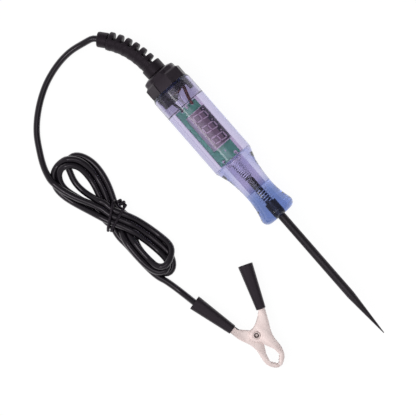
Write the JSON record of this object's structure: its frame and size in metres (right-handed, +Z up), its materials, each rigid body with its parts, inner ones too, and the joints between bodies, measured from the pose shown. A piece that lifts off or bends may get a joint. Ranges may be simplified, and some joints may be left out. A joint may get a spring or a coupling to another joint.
{
  "type": "circuit tester",
  "caption": "Handheld automotive circuit tester: clear blue handle with a digital voltage display, slim pointed probe, black cord tied in a hank, and a spring clip for earth.",
  "frame": {"origin": "on the surface the tester lies on, under the middle of its length from the cap's rear to the probe's tip, without the cord and the clip", "axes": "+X along the tester's axis toward the probe's tip, +Z up from the surface, the cord's hank and the clip lie on the -Y side"},
  "size_m": [0.22, 0.0915, 0.0232],
  "materials": {
    "clear_blue_plastic": "clear, polished",
    "black_cap_plastic": "satin",
    "black_soft_plastic": "satin",
    "black_steel": "black oxide, satin",
    "spring_steel": "bright",
    "green_board": "satin",
    "display_plastic": "smooth",
    "chip_plastic": "matt",
    "ceramic": "matt",
    "brown_insulation": "smooth",
    "white_insulation": "smooth",
    "black_insulation": "smooth",
    "cord_sheath": "smooth",
    "tie_plastic": "matt",
    "nickel_plate": "bright nickel plate",
    "sleeve_vinyl": "matt"
  },
  "bodies": {
    "tester": {"handle": "clear_blue_plastic", "end_cap": "black_cap_plastic", "strain_relief": "black_soft_plastic", "probe_rod": "black_steel", "contact_spring": "spring_steel", "circuit_board": "green_board", "display_module": "display_plastic", "controller_chip": "chip_plastic", "regulator": "chip_plastic", "input_diode": "chip_plastic", "capacitor": "ceramic", "resistor_1": "chip_plastic", "resistor_2": "chip_plastic", "resistor_3": "chip_plastic", "cord_end": "cord_sheath", "lead_brown": "brown_insulation", "lead_white": "white_insulation", "lead_black": "black_insulation", "cable_lead": "cord_sheath", "cable_hank": "cord_sheath", "cable_tail": "cord_sheath", "cable_tie": "tie_plastic", "clip_wire": "black_insulation", "fixed_jaw": "nickel_plate", "clip_rivet": "nickel_plate", "torsion_spring": "spring_steel", "sleeve_fixed": "sleeve_vinyl"},
    "jaw": {"moving_jaw": "nickel_plate", "sleeve_moving": "sleeve_vinyl"}
  },
  "joints": [
    {"name": "jaw_hinge", "type": "hinge", "parent": "tester", "child": "jaw", "pos_m": [0.0472, -0.0508, 0.005], "axis": [0, 0, 1], "range_deg": [0, 36], "stiffness_Nm_per_rad": 0.12, "springref_deg": -34.38, "deforming": ["torsion_spring"]}
  ]
}
